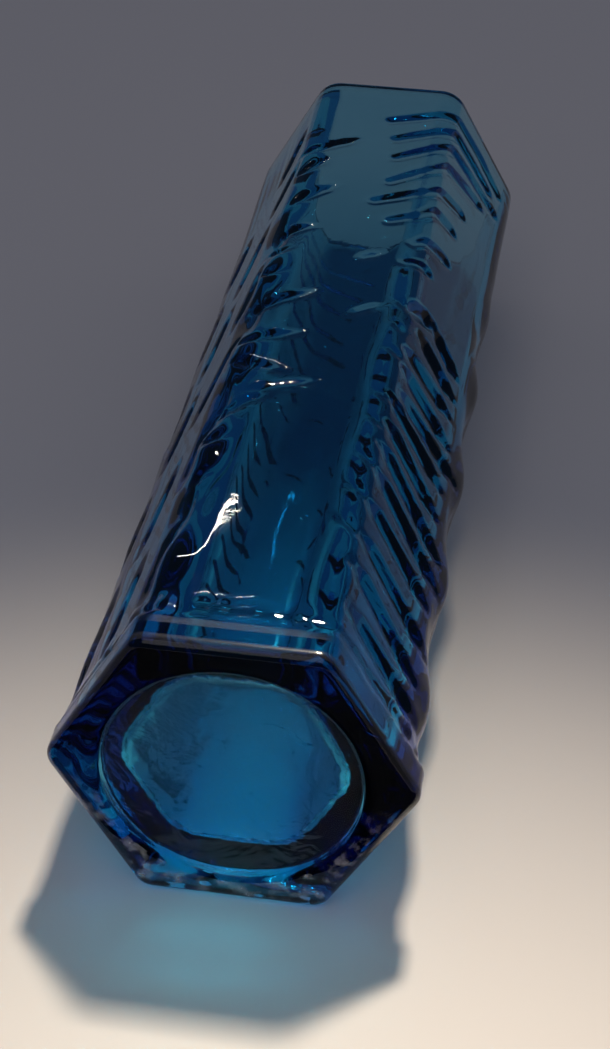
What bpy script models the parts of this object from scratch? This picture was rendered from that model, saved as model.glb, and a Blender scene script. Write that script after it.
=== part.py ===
"""Hexagonal glass vase, pressed in one piece: a ribbed body between a plain foot and a plain rim.

Metres, +Z up. The origin is the middle of the foot, on the surface that the vase stands on. Corners point
along X, and flats face along Y.
"""
import math

import bmesh
import bpy
from mathutils import Vector

# Outside of the glass
HEIGHT = 0.200
ACROSS_FLATS = 0.050
CORNER_RADIUS_AT_FOOT = 0.0032
CORNER_RADIUS_AT_RIM = 0.0060
FOOT_BAND = 0.006
RIM_BAND = 0.008
FOOT_EDGE_RADIUS = 0.0020
RIM_EDGE_RADIUS = 0.0012

# Inside: the wall is thick at the foot and thins towards the rim, and the hollow is rounder at the foot
WALL_AT_FOOT = 0.0086
WALL_AT_RIM = 0.0040
CAVITY_CORNER_AT_FOOT = 0.008
CAVITY_CORNER_AT_RIM = 0.004
CAVITY_FLOOR_EDGE = 0.0018
CAVITY_FLOOR_CORNER = 0.0065
RIM_INNER_RADIUS = 0.0008

# Underside: a flat ring to stand on, narrowest at the flats, rounded inwards into a shallow round recess
BASE_THICKNESS = 0.0040
STANDING_WIDTH = 0.0008
RING_EDGE_WIDTH = 0.0022
RECESS_DEPTH = 0.0015
RECESS_EDGE_RADIUS = 0.0008

# Long waves of the corners, and how the body steps in: soon above the foot and slowly below the rim
BODY_INSET = 0.0007
FOOT_BLEND = 0.008
RIM_BLEND = 0.040
WAVE_COUNT = 6
DEEP_WAVE = 0.0018
SHALLOW_WAVE = 0.0004
WAVE_REACH = 0.006
WAVE_FADE_START = 0.62
WAVE_FADE_END = 0.85

# Grooves between the ribs
RIB_ROWS = 22
GROOVE_WIDTH = 0.0062
GROOVE_DEPTH = 0.0011
CORNER_FADE = 0.004
CORNER_LEAST = 0.35
ROW_WOBBLE = 0.0009

# The faces are of three kinds, each twice round the vase: ribbed, slotted and plain. On the first and the
# last kind, grooves lie in groups. Each group: the corner it starts from (-1 left, 1 right, seen from
# outside), its middle and half height as shares of the ribbed part, where its longest groove starts and
# ends, in metres from the corner, the rise of a groove per metre and how much that changes over the half
# height, and the share of the depth
PLAIN_FACE_GROUPS = (
    (1, 0.50, 0.60, 0.0, 0.0045, -0.2, 0.0, 0.7),
    (1, 0.86, 0.19, 0.0, 0.0125, -0.6, 0.2, 1.0),
    (1, 0.57, 0.07, 0.007, 0.0115, -0.5, 0.0, 0.7),
    (-1, 0.43, 0.15, 0.0, 0.0110, 0.25, 0.0, 1.0),
    (-1, 0.88, 0.035, 0.0, 0.0105, 0.5, 0.0, 0.8),
    (-1, 0.73, 0.10, 0.0, 0.0075, 0.9, 0.0, 0.5),
)
RIBBED_FACE_GROUPS = (
    (-1, 0.50, 0.60, 0.0, 0.0045, 0.2, 0.0, 0.7),
    (-1, 0.98, 0.38, 0.0, 0.0225, 0.25, -0.8, 1.0),
    (-1, 0.44, 0.23, 0.0035, 0.0200, 0.0, 0.6, 1.0),
    (1, 0.26, 0.12, 0.0, 0.0080, 0.5, 0.0, 0.9),
    (-1, 0.11, 0.13, 0.0045, 0.0220, 0.0, 0.0, 0.5),
)

# On the second kind, upright slots lie in columns. Each column: its place across, as a share of the face's
# half width, and how far its slots are shifted up, as a share of the distance between them
SLOT_COLUMNS = ((-0.66, 0.06), (-0.02, -0.10), (0.64, 0.08))
SLOT_LENGTH = 0.020
SLOT_LEAN = 0.13
SLOT_STRENGTH = 0.7

# How finely the glass is laid out
FACE_STEPS = 6
SLOTTED_FACE_STEPS = 8
CORNER_STEPS = 2
RINGS_PER_ROW = 4
EDGE_STEPS = 3
RECESS_SEGMENTS = 48
CAVITY_CORNER_STEPS = 4
CAVITY_WALL_STEPS = 4
CUT_PAST = 0.005
SHARP_EDGE = math.radians(65)

# Sizes that follow
APOTHEM = ACROSS_FLATS / 2
FLAT_HALF_AT_FOOT = (APOTHEM - CORNER_RADIUS_AT_FOOT) * math.tan(math.radians(30))
FACE_HALF = FLAT_HALF_AT_FOOT + CORNER_RADIUS_AT_FOOT * math.radians(30)
GROOVE_BLEND = GROOVE_WIDTH / 2
RIBBED_BOTTOM = FOOT_BAND
RIBBED_TOP = HEIGHT - RIM_BAND
RIBBED_HEIGHT = RIBBED_TOP - RIBBED_BOTTOM
ROW_PITCH = RIBBED_HEIGHT / RIB_ROWS
SLOT_PITCH = RIBBED_HEIGHT / WAVE_COUNT
RECESS_RADIUS = APOTHEM - FOOT_EDGE_RADIUS - STANDING_WIDTH - RING_EDGE_WIDTH
CAVITY_FLOOR = RECESS_DEPTH + BASE_THICKNESS


def smooth(t):
    """Ease from 0 to 1 while t goes from 0 to 1."""
    t = min(max(t, 0.0), 1.0)
    return t * t * (3 - 2 * t)


def share(z):
    """Height as a share of the ribbed part: 0 at the foot band, 1 at the rim band."""
    return (z - RIBBED_BOTTOM) / RIBBED_HEIGHT


def between(z, bottom, bottom_blend, top, top_blend):
    """0 up to the bottom and from the top on, and 1 between them, past a blend at each end."""
    return smooth((z - bottom) / bottom_blend) * smooth((top - z) / top_blend)


def corner_wave(corner, from_corner, z):
    """How far the long waves bring the glass in near a corner."""
    deep = corner % 2 == 1
    height = DEEP_WAVE if deep else SHALLOW_WAVE
    swing = (1 + math.cos(math.tau * WAVE_COUNT * share(z))) / 2
    left = 1 - smooth((share(z) - WAVE_FADE_START) / (WAVE_FADE_END - WAVE_FADE_START))
    return height * swing * left * smooth(1 - from_corner / WAVE_REACH)


def groove(group, corner, from_corner, z):
    """Depth that one group of grooves has at a point, measured from the corner that the group starts from."""
    _, middle, half, start, reach, rise, change, strength = group
    rise += change * min(max((share(z) - middle) / half, -1.0), 1.0)
    level = z - rise * from_corner
    row = math.floor((level - RIBBED_BOTTOM) / ROW_PITCH)
    row_height = RIBBED_BOTTOM + (row + 0.5) * ROW_PITCH
    off_middle = (share(row_height) - middle) / half
    longest = start + (reach - start) * (1 - off_middle * off_middle)
    if abs(off_middle) >= 1 or row < 0 or row >= RIB_ROWS:
        return 0.0
    wobble = ROW_WOBBLE * math.sin(2.3 * row + 1.7 * corner)
    beyond = max(start - from_corner, from_corner - longest, 0.0)
    away = math.hypot((level - row_height - wobble) * math.cos(math.atan(rise)), beyond)
    inside = max(1 - (2 * away / GROOVE_WIDTH) ** 2, 0.0)
    at_corner = CORNER_LEAST + (1 - CORNER_LEAST) * smooth(from_corner / CORNER_FADE)
    return GROOVE_DEPTH * strength * at_corner * inside * inside


def upright_slot(across, z):
    """Depth of the nearest upright slot at a point, measured from the middle of a slotted face."""
    deepest = 0.0
    for place, shift in SLOT_COLUMNS:
        level = share(z) * WAVE_COUNT - shift
        off_middle = (level - math.floor(level) - 0.5) * SLOT_PITCH
        sideways = across - place * FACE_HALF - SLOT_LEAN * off_middle
        beyond = max(abs(off_middle) - (SLOT_LENGTH - GROOVE_WIDTH) / 2, 0.0)
        inside = max(1 - (2 * math.hypot(sideways, beyond) / GROOVE_WIDTH) ** 2, 0.0)
        deepest = max(deepest, GROOVE_DEPTH * SLOT_STRENGTH * inside * inside)
    return deepest


def relief(face, across, z):
    """How far the glass lies inside the plain prism, at a distance across from the middle of a face."""
    corners = {-1: face, 1: (face + 1) % 6}
    wave = BODY_INSET + sum(corner_wave(corners[side], FACE_HALF - side * across, z) for side in (-1, 1))
    groups = (RIBBED_FACE_GROUPS, (), PLAIN_FACE_GROUPS)[face % 3]
    depths = [groove(group, corners[group[0]], FACE_HALF - group[0] * across, z) for group in groups]
    deepest = max(depths) if depths else upright_slot(across, z)
    drawn_in = wave * between(z, RIBBED_BOTTOM, FOOT_BLEND, HEIGHT, RIM_BLEND)
    return drawn_in + deepest * between(z, RIBBED_BOTTOM, GROOVE_BLEND, RIBBED_TOP, GROOVE_BLEND)


def outline(corner_radius):
    """Points of the plain rounded hexagon, each with its face and its distance from the face's middle."""
    flat_half = (APOTHEM - corner_radius) * math.tan(math.radians(30))
    points = []
    for face in range(6):
        middle = math.radians(30 + 60 * face)
        normal = Vector((math.cos(middle), math.sin(middle)))
        along = Vector((-normal.y, normal.x))
        for step in range(CORNER_STEPS // 2):
            turn = math.radians(30) * (1 - 2 * step / CORNER_STEPS)
            centre = (APOTHEM - corner_radius) * normal - flat_half * along
            point = centre + corner_radius * (math.cos(turn) * normal - math.sin(turn) * along)
            points.append((point, face, -flat_half - corner_radius * turn))
        steps = SLOTTED_FACE_STEPS if face % 3 == 1 else FACE_STEPS
        for step in range(steps + 1):
            across = flat_half * (2 * step / steps - 1)
            points.append((APOTHEM * normal + across * along, face, across))
        for step in range(1, CORNER_STEPS // 2):
            turn = math.radians(60) * step / CORNER_STEPS
            centre = (APOTHEM - corner_radius) * normal + flat_half * along
            point = centre + corner_radius * (math.cos(turn) * normal + math.sin(turn) * along)
            points.append((point, face, flat_half + corner_radius * turn))
    return points


def levels():
    """Heights of the rings from foot to rim, each with how far its rounded edge draws in."""
    rings = []
    for step in range(EDGE_STEPS + 1):
        turn = math.radians(90) * step / EDGE_STEPS
        rings.append((FOOT_EDGE_RADIUS * (1 - math.cos(turn)), FOOT_EDGE_RADIUS * (1 - math.sin(turn))))
    for step in range(RIB_ROWS * RINGS_PER_ROW + 1):
        rings.append((RIBBED_BOTTOM + ROW_PITCH * step / RINGS_PER_ROW, 0.0))
    for step in range(EDGE_STEPS, -1, -1):
        turn = math.radians(90) * step / EDGE_STEPS
        drawn_in = RIM_EDGE_RADIUS * (1 - math.sin(turn))
        rings.append((HEIGHT - RIM_EDGE_RADIUS * (1 - math.cos(turn)), drawn_in))
    return rings


def linked(name, bm, collection):
    """A new object with the mesh of bm, in a collection."""
    mesh = bpy.data.meshes.new(name)
    bm.to_mesh(mesh)
    bm.free()
    thing = bpy.data.objects.new(name, mesh)
    collection.objects.link(thing)
    return thing


def rolled_grid(columns, rows, place):
    """A closed solid from a grid rolled up: place gives the spot of each column round it and row up it."""
    bm = bmesh.new()
    bmesh.ops.create_grid(bm, x_segments=columns, y_segments=rows - 1, size=1.0)
    for vert in bm.verts:
        column = round((vert.co.x + 1) / 2 * columns) % columns
        row = round((vert.co.y + 1) / 2 * (rows - 1))
        vert.co = place(column, row)
    bmesh.ops.remove_doubles(bm, verts=bm.verts, dist=1e-6)
    bmesh.ops.holes_fill(bm, edges=[edge for edge in bm.edges if edge.is_boundary])
    bmesh.ops.recalc_face_normals(bm, faces=bm.faces)
    return bm


def vase_blank(collection):
    """The outside of the glass as a solid, its waves, grooves and slots pressed in."""
    at_foot, at_rim = outline(CORNER_RADIUS_AT_FOOT), outline(CORNER_RADIUS_AT_RIM)
    rings = levels()

    def place(column, row):
        point, face, across = at_foot[column]
        z, drawn_in = rings[row]
        point = point.lerp(at_rim[column][0], z / HEIGHT)
        flat = point - (drawn_in + relief(face, across, z)) * point.normalized()
        return Vector((flat.x, flat.y, z))

    return linked("vase_body", rolled_grid(len(at_foot), len(rings), place), collection)


def as_cutter(thing):
    """Mark an object that only cuts others."""
    thing.hide_render = True
    thing.display_type = "WIRE"
    return thing


def cavity_rings():
    """Half width, corner radius and height of each ring of the hollow, from its floor to past the rim."""
    foot_width, rim_width = APOTHEM - WALL_AT_FOOT, APOTHEM - WALL_AT_RIM
    rings = []
    for step in range(EDGE_STEPS + 1):
        turn = math.radians(90) * step / EDGE_STEPS
        drawn_in = 1 - math.sin(turn)
        corner = CAVITY_CORNER_AT_FOOT + (CAVITY_FLOOR_CORNER - CAVITY_CORNER_AT_FOOT) * drawn_in
        z = CAVITY_FLOOR + CAVITY_FLOOR_EDGE * (1 - math.cos(turn))
        rings.append((foot_width - CAVITY_FLOOR_EDGE * drawn_in, corner, z))
    wall_bottom = CAVITY_FLOOR + CAVITY_FLOOR_EDGE
    for step in range(1, CAVITY_WALL_STEPS + 1):
        z = wall_bottom + (HEIGHT + CUT_PAST - wall_bottom) * step / CAVITY_WALL_STEPS
        up = (z - wall_bottom) / (HEIGHT - wall_bottom)
        corner = CAVITY_CORNER_AT_FOOT + (CAVITY_CORNER_AT_RIM - CAVITY_CORNER_AT_FOOT) * up
        rings.append((foot_width + (rim_width - foot_width) * up, corner, z))
    return rings


def cavity_cutter(collection):
    """The hollow: a tapered hexagonal prism with rounded corners and a rounded floor edge."""
    rings = cavity_rings()

    def place(column, row):
        half_width, corner_radius, z = rings[row]
        corner_radius = min(corner_radius, half_width)
        corner, step = divmod(column, CAVITY_CORNER_STEPS + 1)
        heading = math.radians(60) * corner
        turn = heading + math.radians(60) * (step / CAVITY_CORNER_STEPS - 0.5)
        centre = (half_width - corner_radius) / math.cos(math.radians(30))
        x = centre * math.cos(heading) + corner_radius * math.cos(turn)
        y = centre * math.sin(heading) + corner_radius * math.sin(turn)
        return Vector((x, y, z))

    columns = 6 * (CAVITY_CORNER_STEPS + 1)
    return as_cutter(linked("cavity_cutter", rolled_grid(columns, len(rings), place), collection))


def recess_cutter(collection):
    """The round hollow under the base, which leaves a flat ring for the vase to stand on."""
    rings = [(RECESS_RADIUS + RING_EDGE_WIDTH, -CUT_PAST)]
    for step in range(EDGE_STEPS + 1):
        turn = math.radians(90) * step / EDGE_STEPS
        rise = (RECESS_DEPTH - RECESS_EDGE_RADIUS) * (1 - math.cos(turn))
        rings.append((RECESS_RADIUS + RING_EDGE_WIDTH * (1 - math.sin(turn)), rise))
    for step in range(1, EDGE_STEPS + 1):
        turn = math.radians(90) * step / EDGE_STEPS
        rise = RECESS_DEPTH - RECESS_EDGE_RADIUS * (1 - math.sin(turn))
        rings.append((RECESS_RADIUS - RECESS_EDGE_RADIUS * (1 - math.cos(turn)), rise))

    def place(column, row):
        turn = math.tau * column / RECESS_SEGMENTS
        ring_radius, z = rings[row]
        return Vector((ring_radius * math.cos(turn), ring_radius * math.sin(turn), z))

    return as_cutter(linked("recess_cutter", rolled_grid(RECESS_SEGMENTS, len(rings), place), collection))


def blue_glass():
    """Clear glass coloured peacock blue all through."""
    material = bpy.data.materials.new("blue_glass")
    material.use_nodes = True
    shader = material.node_tree.nodes["Principled BSDF"]
    shader.inputs["Base Color"].default_value = (0.02, 0.35, 0.62, 1)
    shader.inputs["Metallic"].default_value = 0
    shader.inputs["Roughness"].default_value = 0.03
    shader.inputs["IOR"].default_value = 1.52
    shader.inputs["Transmission Weight"].default_value = 1
    return material


def build():
    """Clear the scene, then press, hollow and round the vase."""
    for thing in list(bpy.data.objects):
        bpy.data.objects.remove(thing)
    parts = bpy.data.collections.new("glass_vase")
    cutters = bpy.data.collections.new("cutters")
    for collection in (parts, cutters):
        bpy.context.scene.collection.children.link(collection)
    vase = vase_blank(parts)
    for cutter in (cavity_cutter(cutters), recess_cutter(cutters)):
        cut = vase.modifiers.new(cutter.name, "BOOLEAN")
        cut.operation = "DIFFERENCE"
        cut.solver = "EXACT"
        cut.object = cutter
    rounding = vase.modifiers.new("rim_inner_edge", "BEVEL")
    rounding.width = RIM_INNER_RADIUS
    rounding.segments = 2
    rounding.limit_method = "ANGLE"
    rounding.angle_limit = SHARP_EDGE
    vase.data.materials.append(blue_glass())
    vase.data.shade_smooth()
    vase.data.set_sharp_from_angle(angle=SHARP_EDGE)
    return vase


build()
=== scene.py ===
# %% [markdown]
# # A pressed glass vase in peacock blue
# The vase is one piece of coloured glass: a hexagonal tube with a closed base, pressed hot in a mould.
# Its foot and its rim are plain bands, and the body between them is pressed into ribs and long waves.
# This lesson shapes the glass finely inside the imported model's box, colours it all through, and lights it
# so that both the ribs and the hollow can be read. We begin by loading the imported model, which never moves.

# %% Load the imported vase
import math

import bmesh
import bpy
from mathutils import Matrix, Vector


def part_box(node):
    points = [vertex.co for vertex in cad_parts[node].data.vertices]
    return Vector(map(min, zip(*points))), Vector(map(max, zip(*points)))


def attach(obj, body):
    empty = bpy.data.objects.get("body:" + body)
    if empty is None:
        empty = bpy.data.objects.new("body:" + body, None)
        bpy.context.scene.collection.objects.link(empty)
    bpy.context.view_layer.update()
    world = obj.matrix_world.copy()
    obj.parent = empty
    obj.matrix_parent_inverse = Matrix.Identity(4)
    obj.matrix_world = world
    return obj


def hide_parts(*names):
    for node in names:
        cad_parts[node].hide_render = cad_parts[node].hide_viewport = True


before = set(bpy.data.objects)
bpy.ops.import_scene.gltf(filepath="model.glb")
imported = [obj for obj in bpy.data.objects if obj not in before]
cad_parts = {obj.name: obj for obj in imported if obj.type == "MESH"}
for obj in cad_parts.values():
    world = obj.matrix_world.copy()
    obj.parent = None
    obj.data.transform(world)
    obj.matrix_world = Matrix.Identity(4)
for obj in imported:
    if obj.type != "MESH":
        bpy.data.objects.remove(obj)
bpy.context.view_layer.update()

MM = 0.001
low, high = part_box("vase_body")
print("packed vase, mm:", [round(side / MM, 1) for side in high - low])


# %% [markdown]
# ## Two helpers
# A colour is picked on screen, as sRGB, but light is worked out in linear values, so one function turns a
# hex colour to linear. Trees of nodes, for shapes and for materials alike, are built by one function that
# adds a node, sets its options and links or sets its inputs.

# %% Colour and node helpers
def linear(hex_colour):
    """Linear red, green and blue of an sRGB colour such as '8090A0'."""
    shares = [int(hex_colour[i:i + 2], 16) / 255 for i in (0, 2, 4)]
    return tuple(s / 12.92 if s <= 0.04045 else ((s + 0.055) / 1.055) ** 2.4 for s in shares)


def add(tree, kind, inputs=None, **settings):
    """Add a node. Inputs are sockets to link from or plain values, by name or number."""
    node = tree.nodes.new(kind)
    for name, value in settings.items():
        setattr(node, name, value)
    for key, value in (inputs or {}).items():
        if isinstance(value, bpy.types.NodeSocket):
            tree.links.new(value, node.inputs[key])
        else:
            node.inputs[key].default_value = value
    return node


print("white in linear values:", linear("FFFFFF"))

# %% [markdown]
# ## The section of the glass
# Cut from foot to rim, a pressed vase shows its whole story: a shallow round recess under the base, a flat
# ring to stand on, the outer wall, the rounded rim, and the cavity with its rounded floor. Each station of
# this section is a rounded hexagon, given by its half width across flats and its corner radius. A circle is
# the case where the two are the same, so the round recess and the hexagonal wall belong to one family.
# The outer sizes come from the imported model, so the fine glass fits it exactly. The outer corners are crisp
# at the foot and get rounder towards the rim, while the cavity's corners get sharper.

# %% Sizes of the section
HEIGHT = high.z
APOTHEM = high.y
TURN_30 = math.radians(30)
SHARP_CORNER = APOTHEM / math.cos(TURN_30)
CORNER_RADIUS = (SHARP_CORNER - high.x) / (1 / math.cos(TURN_30) - 1)
CORNER_AT_RIM = 6.0 * MM
FOOT_EDGE = 2.0 * MM
RIM_EDGE = 1.2 * MM
WALL_AT_RIM = 4.0 * MM
WALL_AT_FOOT = 8.6 * MM
CAVITY_CORNER_AT_RIM = 4.0 * MM
CAVITY_CORNER_AT_FOOT = 8.0 * MM
FLOOR_EDGE = 1.8 * MM
FLOOR_CORNER = 6.5 * MM
FLOOR_HEIGHT = 5.5 * MM
RECESS_RADIUS = 20.0 * MM
RECESS_DEPTH = 1.5 * MM
RECESS_EDGE = 0.8 * MM
RING_EDGE = 2.2 * MM
FINE_STEP = 0.7 * MM
COARSE_STEP = 4.0 * MM
RECESS_EDGE_STEPS = 4
RING_EDGE_STEPS = 8
OUTER_EDGE_STEPS = 6
FLOOR_EDGE_STEPS = 10
print(f"across flats {2 * APOTHEM / MM:.1f} mm, corner radius {CORNER_RADIUS / MM:.1f} mm at the foot")


# %% Stations of the underside and the outside
def arc(steps):
    """Sine and cosine pairs of a quarter turn."""
    turns = [math.tau / 4 * i / steps for i in range(steps + 1)]
    return [(math.sin(turn), math.cos(turn)) for turn in turns]


def between(start, end, share):
    """The value at a share of the way from start to end."""
    return start + (end - start) * share


def steps_between(start, end, step):
    """Evenly spaced values from start to end, both left out."""
    count = max(1, round(abs(end - start) / step))
    return [between(start, end, i / count) for i in range(1, count)]


def underside():
    """Half width, corner radius and height of each station from the middle of the base to the flat ring.
    All of them are circles."""
    inner = RECESS_RADIUS - RECESS_EDGE
    circles = [(width, RECESS_DEPTH) for width in (0.0, *steps_between(0, inner, COARSE_STEP / 2))]
    circles += [(inner + RECESS_EDGE * s, RECESS_DEPTH - RECESS_EDGE * (1 - c))
                for s, c in arc(RECESS_EDGE_STEPS)]
    circles += [(RECESS_RADIUS + RING_EDGE * (1 - c), (RECESS_DEPTH - RECESS_EDGE) * (1 - s))
                for s, c in arc(RING_EDGE_STEPS)]
    return [(radius, radius, z) for radius, z in circles]


def outer_wall():
    """Stations of the outside, from the foot's rounded edge to the rim's. The corners get rounder upwards."""
    plain = [(FOOT_EDGE * (1 - s), FOOT_EDGE * (1 - c)) for s, c in arc(OUTER_EDGE_STEPS)]
    plain += [(0.0, z) for z in steps_between(FOOT_EDGE, HEIGHT - RIM_EDGE, FINE_STEP)]
    plain += [(RIM_EDGE * (1 - c), HEIGHT - RIM_EDGE * (1 - s)) for s, c in arc(OUTER_EDGE_STEPS)]
    return [(APOTHEM - drawn_in, between(CORNER_RADIUS, CORNER_AT_RIM, z / HEIGHT) - drawn_in, z)
            for drawn_in, z in plain]


# %% Stations of the inside, and the section as loose points
def cavity():
    """Stations of the inside, from the rim's inner edge down the tapered wall to the middle of the floor."""
    wide, narrow = APOTHEM - WALL_AT_RIM, APOTHEM - WALL_AT_FOOT
    top, bottom = HEIGHT - RIM_EDGE, FLOOR_HEIGHT + FLOOR_EDGE
    rim = [(wide + RIM_EDGE * (1 - s), CAVITY_CORNER_AT_RIM + RIM_EDGE * (1 - s),
            HEIGHT - RIM_EDGE * (1 - c)) for s, c in arc(OUTER_EDGE_STEPS)]
    wall = []
    for z in steps_between(top, bottom, COARSE_STEP):
        share = (z - bottom) / (top - bottom)
        corner = between(CAVITY_CORNER_AT_FOOT, CAVITY_CORNER_AT_RIM, share)
        wall.append((between(narrow, wide, share), corner, z))
    edge = [(narrow - FLOOR_EDGE * (1 - c), between(CAVITY_CORNER_AT_FOOT, FLOOR_CORNER, 1 - c),
             FLOOR_HEIGHT + FLOOR_EDGE * (1 - s)) for s, c in arc(FLOOR_EDGE_STEPS)]
    floor = [(width, min(FLOOR_CORNER, width), FLOOR_HEIGHT)
             for width in (*steps_between(narrow - FLOOR_EDGE, 0, COARSE_STEP / 2), 0.0)]
    return rim + wall + edge + floor


def section_mesh():
    """The stations as loose points in order: height in Z, half width in X, corner radius in Y, and a share
    that is 1 where the mould presses ribs."""
    outside = outer_wall()
    stations = [(*s, 0.0) for s in underside()] + [(*s, 1.0) for s in outside] + [(*s, 0.0) for s in cavity()]
    mesh = bpy.data.meshes.new("section")
    mesh.from_pydata([(a, r, z) for a, r, z, _ in stations], [], [])
    pressed = mesh.attributes.new("pressed", "FLOAT", "POINT")
    pressed.data.foreach_set("value", [share for *_, share in stations])
    thing = bpy.data.objects.new("section", mesh)
    bpy.context.scene.collection.objects.link(thing)
    return thing


section = section_mesh()
print("stations in the section:", len(section.data.vertices))

# %% [markdown]
# ## The grooves on the flat pattern
# The mould has two equal halves, so its pattern goes round the vase twice, and each half shapes three faces:
# a plainer one, a ribbed one on its right, and one with long upright slots on its left. We unroll the three
# flat and draw each groove as a line, in millimetres: first the distance from the middle of the plainer
# face, then the height. That face's corners lie 14.3 mm to either side. Near the rim the grooves bend over
# its right corner like the veins of a leaf. Lower down they are nicks on the plainer face and slots on the
# others. The last line runs along all three faces, as a shallow step just above the foot.

# %% Veins and nicks
VEINS_OVER_CORNER = (
    ((2, 182), (8, 184.5), (14, 187), (18, 189.5), (27, 190.5), (36, 189)),
    ((4, 173.5), (14, 179), (18, 183), (32, 184)),
    ((5, 165), (14, 171.5), (18, 176), (36, 180)),
    ((5, 154), (14, 162), (18, 167.5), (30, 173.5)),
    ((3, 145), (13.5, 151), (17, 155), (25, 160)),
    ((7, 137), (13, 140.5), (17, 146), (23, 149)),
    ((13, 129), (16, 132), (23, 136)),
    ((12, 120.5), (18, 123.5)),
)
VEINS_OF_PLAIN_FACE = (
    ((-16, 165.5), (-11, 167), (-4, 172)),
    ((-14, 156), (-9, 162)),
    ((-13, 142), (-6, 150)),
    ((-15, 130), (-8, 131.5)),
    ((-16, 122), (-11, 123)),
    ((-15, 113), (-11, 113.5)),
    ((-16, 100.5), (-10, 102), (-4, 106)),
    ((-16, 87), (-10, 89), (-4, 91)),
    ((-15, 81), (-5, 77.5)),
    ((-9, 71), (1, 75)),
    ((-15, 63.5), (-6, 70)),
    ((-15, 54), (-11, 57)),
    ((-15, 44), (-12, 46)),
)
DIMPLES = (
    ((3, 120.5), (6.5, 123)),
    ((4, 99.5), (9, 103.5)),
    ((12, 106), (15, 105)),
    ((12.5, 98), (15, 97)),
    ((12.5, 89), (15.5, 88)),
    ((12.5, 74.5), (15, 73)),
    ((12.5, 66), (15.5, 65)),
    ((12, 55), (15, 52)),
    ((11.5, 46), (15, 43)),
    ((11, 37), (15, 33)),
)

# %% Slots, and the step above the foot
SLOTS_OF_RIBBED_FACE = (
    ((15, 105), (23, 111)),
    ((24, 110), (33, 107.5)),
    ((20, 101.5), (33, 100)),
    ((17, 92), (32.5, 93.5)),
    ((17.5, 86), (34, 85)),
    ((18.5, 78.5), (38, 79)),
    ((15, 74.5), (34, 71.5)),
    ((16, 67), (34, 63)),
    ((15.5, 60), (37, 54)),
    ((16, 52), (38, 47)),
    ((15.5, 43), (36, 40)),
    ((16, 34), (38, 30)),
    ((15, 26), (36, 21)),
    ((17, 16), (38, 14)),
)
SLOTS_OF_LEFT_FACE = (
    ((-40, 12), (-37, 36)),
    ((-30, 13), (-26, 33)),
    ((-18.5, 14), (-16, 32)),
    ((-41, 46), (-38, 63)),
    ((-31, 40), (-26, 61)),
    ((-19.5, 46), (-16, 66)),
    ((-36, 71), (-31, 89)),
    ((-26, 74), (-17, 91)),
    ((-41, 84), (-38.5, 101)),
    ((-33, 98), (-28, 117)),
    ((-22, 101), (-16.5, 118)),
    ((-40, 112), (-37, 130)),
    ((-29, 125), (-23, 143)),
    ((-38, 140), (-34, 155)),
    ((-23, 150), (-17, 163)),
    ((-25, 168), (-19, 181)),
)
STEP_ABOVE_FOOT = (((-43, 8.5), (43, 8.5)),)

# %% [markdown]
# The groups differ in size. Each has a share of the full groove's width, and a second share that says how
# much of it is left at a line's ends. A curve has room for both numbers at each point: the first goes in the
# point's radius and the second in its tilt, where the nodes can read them.

# %% Lines of the grooves
GROOVE_GROUPS = (
    (0.78, 0.92, VEINS_OVER_CORNER),
    (0.72, 0.7, VEINS_OF_PLAIN_FACE),
    (0.6, 0.7, DIMPLES),
    (1.0, 0.7, SLOTS_OF_RIBBED_FACE),
    (0.85, 0.7, SLOTS_OF_LEFT_FACE),
    (0.75, 1.0, STEP_ABOVE_FOOT),
)


def groove_lines(name, groups):
    """One curve object with a straight-sided spline for each line, its sizes turned to metres. A point's
    radius is the groove's share of the full width, and its tilt the part of that share left at the ends."""
    curve = bpy.data.curves.new(name, "CURVE")
    curve.dimensions = "3D"
    for share, end_share, lines in groups:
        for line in lines:
            spline = curve.splines.new("POLY")
            spline.points.add(len(line) - 1)
            for point, (along, height) in zip(spline.points, line):
                point.co = (along * MM, height * MM, 0, 1)
                point.radius = share
                point.tilt = end_share
    thing = bpy.data.objects.new(name, curve)
    bpy.context.scene.collection.objects.link(thing)
    return thing


grooves = groove_lines("grooves", GROOVE_GROUPS)
print("grooves drawn for each half of the mould:", len(grooves.data.splines))


# %% [markdown]
# ## Pressing and rolling the glass
# The whole vase follows one rule, so Geometry Nodes make it. A flat grid has one column for each step round
# the vase and one row for each station of the section. The rule looks up the station, presses the waves
# and grooves in, and rolls the row round its rounded hexagon. Where two ends meet, at the seam and at the
# two middles, the points are merged, and the result is one closed body of glass.

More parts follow.
